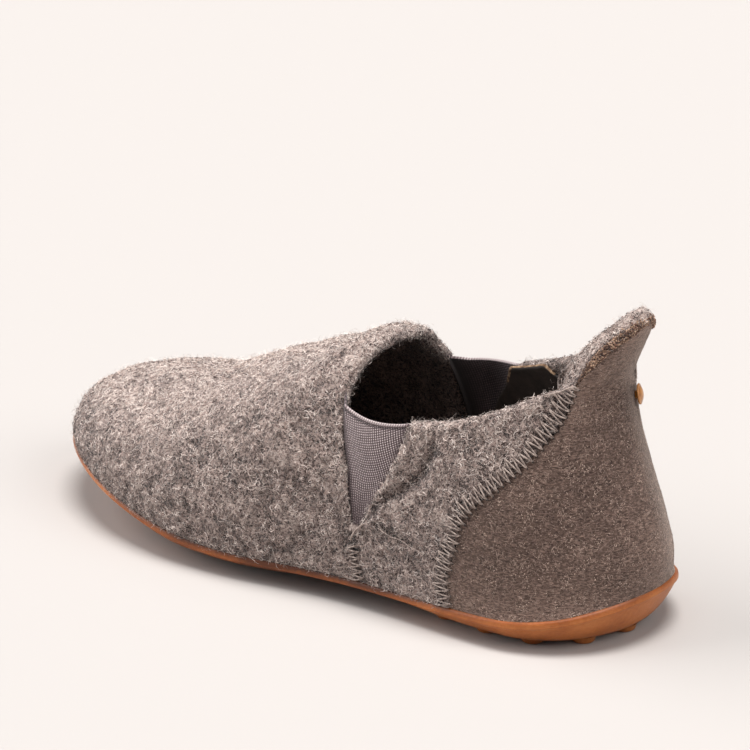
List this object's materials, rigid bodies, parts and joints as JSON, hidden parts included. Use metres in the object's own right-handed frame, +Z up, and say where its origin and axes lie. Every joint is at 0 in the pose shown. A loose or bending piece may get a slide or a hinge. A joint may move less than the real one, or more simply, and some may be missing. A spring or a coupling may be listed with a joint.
{
  "type": "wool slipper",
  "caption": "Child's left slip-on wool house shoe with elastic side gores, a suede heel counter, a heel pull tab and a studded gum-rubber cup sole.",
  "frame": {"origin": "middle of the shoe's plan box, on the ground plane that the stud faces stand on", "axes": "+X towards the toe, +Y towards the wearer's left (outer side of this left shoe), +Z up"},
  "size_m": [0.1745, 0.0688, 0.0799],
  "materials": {
    "gum_rubber": "satin caramel gum rubber",
    "footbed_felt": "dark napped felt",
    "wool_felt": "boiled wool, heather taupe grey",
    "woven_elastic": "ribbed mauve-grey elastic webbing",
    "suede": "brushed dark taupe suede",
    "tan_button": "golden tan, low sheen"
  },
  "bodies": {
    "root": {"outsole": "gum_rubber", "insole": "footbed_felt", "upper": "wool_felt", "gore_lateral": "woven_elastic", "gore_medial": "woven_elastic", "heel_counter": "suede", "heel_stud": "tan_button"}
  },
  "joints": []
}
